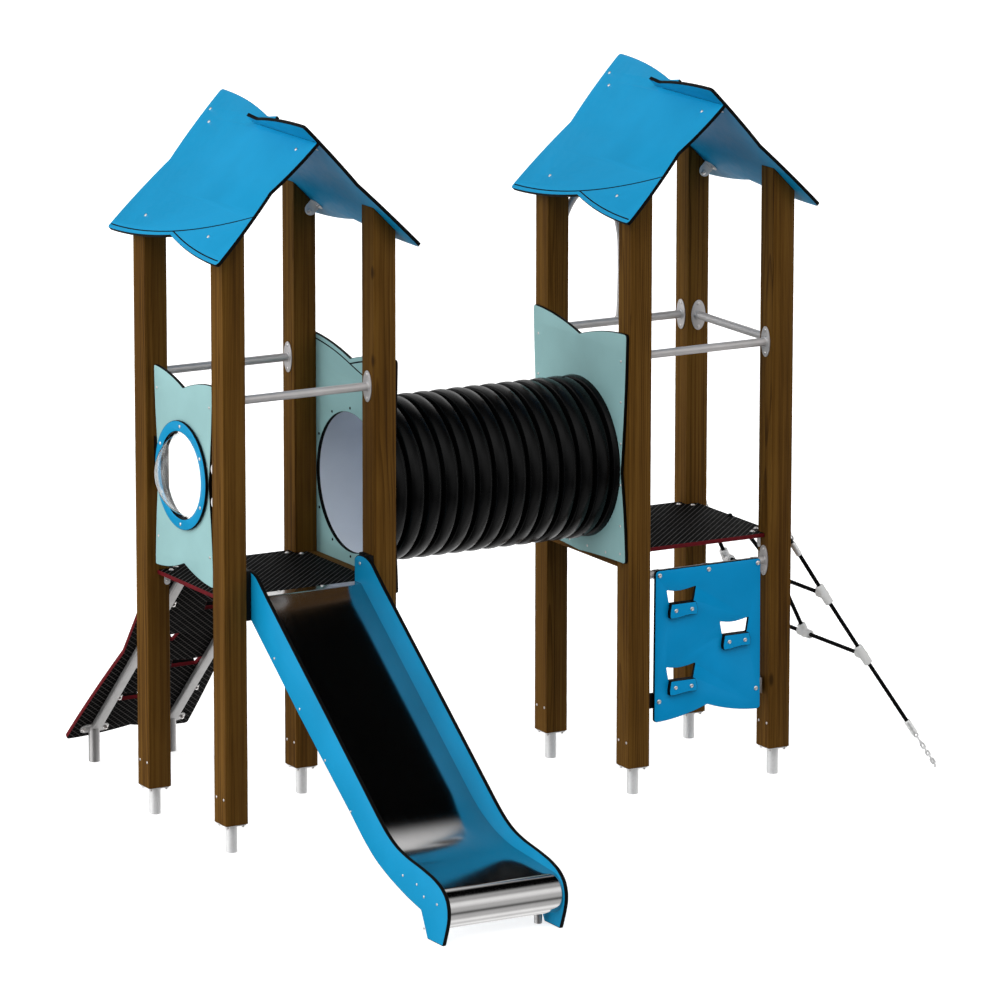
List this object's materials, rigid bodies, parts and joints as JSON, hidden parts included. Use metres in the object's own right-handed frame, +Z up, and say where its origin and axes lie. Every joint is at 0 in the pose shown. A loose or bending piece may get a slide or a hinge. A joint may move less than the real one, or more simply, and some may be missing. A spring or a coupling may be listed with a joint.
{
  "type": "double play tower",
  "caption": "Timber play tower pair with gabled roofs, corrugated crawl tunnel, steel slide, climbing ramp, climbing panel with cut-outs and a rope net.",
  "frame": {"origin": "middle of the footprint, on the ground under the anchors", "axes": "+X along the tunnel from the slide tower to the net tower, +Y from the slide towards the ramp, +Z up"},
  "size_m": [3.1107, 3.0606, 2.7545],
  "materials": {
    "timber": "stained pine, satin",
    "zinc": "hot-dip galvanised, dull",
    "blue_laminate": "high pressure laminate, satin, black core",
    "blue_panel": "high pressure laminate, satin, black core",
    "teal_laminate": "high pressure laminate, satin, black core",
    "clear_dome": "clear blown sheet",
    "tunnel_plastic": "extruded polyethylene, glossy black outside, pale inside",
    "satin_steel": "brushed stainless tube",
    "galvanised": "galvanised tube, dull",
    "stainless": "polished stainless sheet",
    "deck_board": "film faced anti-slip board, dark red edges",
    "clamp_plastic": "moulded pale grey",
    "rope": "braided black rope"
  },
  "bodies": {
    "root": {"anchor_a_far_inner": "zinc", "anchor_a_far_outer": "zinc", "anchor_a_near_inner": "zinc", "anchor_a_near_outer": "zinc", "anchor_b_far_inner": "zinc", "anchor_b_far_outer": "zinc", "anchor_b_near_inner": "zinc", "anchor_b_near_outer": "zinc", "anchor_chain_far": "zinc", "anchor_chain_near": "zinc", "climbing_panel": "blue_panel", "crawl_tunnel": "tunnel_plastic", "deck_a": "deck_board", "deck_b": "deck_board", "foothold_1": "blue_panel", "foothold_2": "blue_panel", "foothold_3": "blue_panel", "net_clamp_lower_far": "clamp_plastic", "net_clamp_lower_middle": "clamp_plastic", "net_clamp_lower_near": "clamp_plastic", "net_clamp_upper_far": "clamp_plastic", "net_clamp_upper_middle": "clamp_plastic", "net_clamp_upper_near": "clamp_plastic", "net_rope_far": "rope", "net_rope_middle": "rope", "net_rope_near": "rope", "net_rung_lower": "rope", "net_rung_upper": "rope", "panel_rail": "satin_steel", "post_a_far_inner": "timber", "post_a_far_outer": "timber", "post_a_near_inner": "timber", "post_a_near_outer": "timber", "post_b_far_inner": "timber", "post_b_far_outer": "timber", "post_b_near_inner": "timber", "post_b_near_outer": "timber", "rail_a_far": "satin_steel", "rail_a_near": "satin_steel", "rail_b_end": "satin_steel", "rail_b_far": "satin_steel", "rail_b_near": "satin_steel", "ramp_board": "deck_board", "ramp_stringer_inner": "galvanised", "ramp_stringer_outer": "galvanised", "roof_slab_a_inner": "blue_laminate", "roof_slab_a_outer": "blue_laminate", "roof_slab_b_inner": "blue_laminate", "roof_slab_b_outer": "blue_laminate", "slide_bed": "stainless", "slide_side_inner": "blue_laminate", "slide_side_outer": "blue_laminate", "slide_support": "galvanised", "threshold_batten_a": "timber", "threshold_batten_b": "timber", "tunnel_panel_a": "teal_laminate", "tunnel_panel_b": "teal_laminate", "window_bubble": "clear_dome", "window_panel": "teal_laminate", "window_ring": "blue_laminate"}
  },
  "joints": []
}
